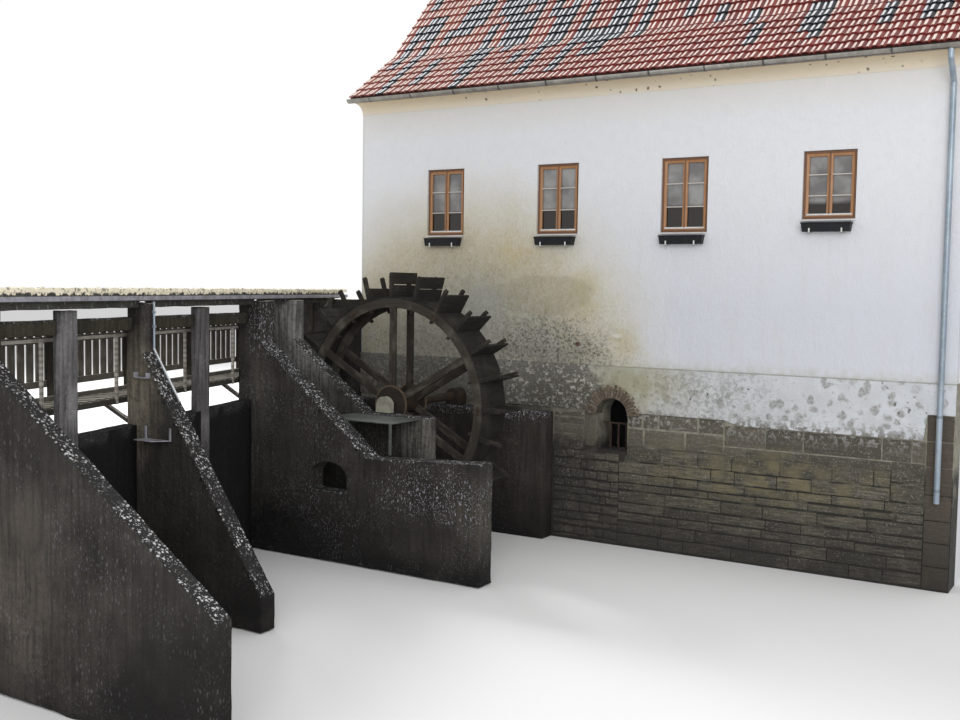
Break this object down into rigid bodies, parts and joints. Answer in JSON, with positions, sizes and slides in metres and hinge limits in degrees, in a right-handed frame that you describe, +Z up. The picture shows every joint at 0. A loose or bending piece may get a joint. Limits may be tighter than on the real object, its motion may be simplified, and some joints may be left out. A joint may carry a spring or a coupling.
{
  "type": "watermill",
  "caption": "Rendered mill house on a stone base with a tiled roof, a paddle wheel in a concrete race at its side, and a buttressed weir with a footbridge.",
  "frame": {"origin": "middle of the river wall's thickness, halfway along the house, at the lowest water line where the walls stand", "axes": "+X along the river wall, downstream; +Y from the river into the house; +Z up"},
  "size_m": [13.2336, 20.4626, 13.2188],
  "materials": {
    "sandstone": "weathered squared sandstone",
    "grey_render": "pitted lime render",
    "white_render": "smooth white render",
    "cream_render": "cream plaster",
    "floor_boards": "planed boards on joists",
    "roof_tiles": "mixed red and dark clay tiles",
    "brick": "weathered brick",
    "zinc_sheet": "dull grey sheet metal",
    "brown_window_wood": "brown glazed wood",
    "window_glass": "clear pane over a dark room",
    "white_sheet": "white coated sheet",
    "black_plastic": "black plastic trough",
    "rusty_iron": "rusty bars",
    "dark_concrete": "stained old concrete",
    "pale_concrete": "pale board-marked concrete",
    "deck_concrete": "lichen-covered concrete",
    "bearing_paint": "beige paint",
    "old_iron": "rusted cast iron",
    "grey_steel": "dull grey-green paint",
    "wheel_wood": "brown weathered oak",
    "paddle_wood": "wet blackened boards",
    "dark_wood": "wet dark boards",
    "grey_wood": "bleached grey wood"
  },
  "bodies": {
    "mill": {"stone_base": "sandstone", "base_render": "grey_render", "front_wall": "white_render", "back_wall": "white_render", "upstream_gable": "white_render", "downstream_gable": "white_render", "upper_floor": "floor_boards", "eaves_coves": "cream_render", "river_roof": "roof_tiles", "back_roof": "roof_tiles", "ridge_tiles": "roof_tiles", "gutters": "zinc_sheet", "gutter_brackets": "zinc_sheet", "downpipe": "zinc_sheet", "window_frames": "brown_window_wood", "window_glass": "window_glass", "window_sills": "white_sheet", "flower_boxes": "black_plastic", "brick_arch": "brick", "arch_bars": "rusty_iron", "inner_race_wall": "dark_concrete", "outer_race_wall": "dark_concrete", "bearing_pier": "pale_concrete", "axle_bearing": "bearing_paint", "wall_bearing": "old_iron", "bearing_shelf": "grey_steel", "middle_buttress": "dark_concrete", "bank_buttress": "dark_concrete", "weir_posts": "pale_concrete", "weir_wall": "dark_concrete", "bridge_abutment": "dark_concrete", "footbridge": "deck_concrete", "guide_beam": "dark_concrete", "slim_posts": "grey_wood", "paling": "grey_wood", "walkway": "grey_wood", "sluice_gate": "dark_wood", "edge_rod": "zinc_sheet"},
    "wheel": {"wheel_rims": "wheel_wood", "wheel_spokes": "wheel_wood", "wheel_hubs": "old_iron", "wheel_axle": "old_iron", "wheel_drum": "wheel_wood", "paddle_arms": "paddle_wood", "paddle_boards": "paddle_wood"}
  },
  "joints": [
    {"name": "wheel_turn", "type": "hinge", "parent": "mill", "child": "wheel", "pos_m": [-3.26, -2.285, 2.51], "axis": [0, 1, 0], "continuous": true}
  ]
}
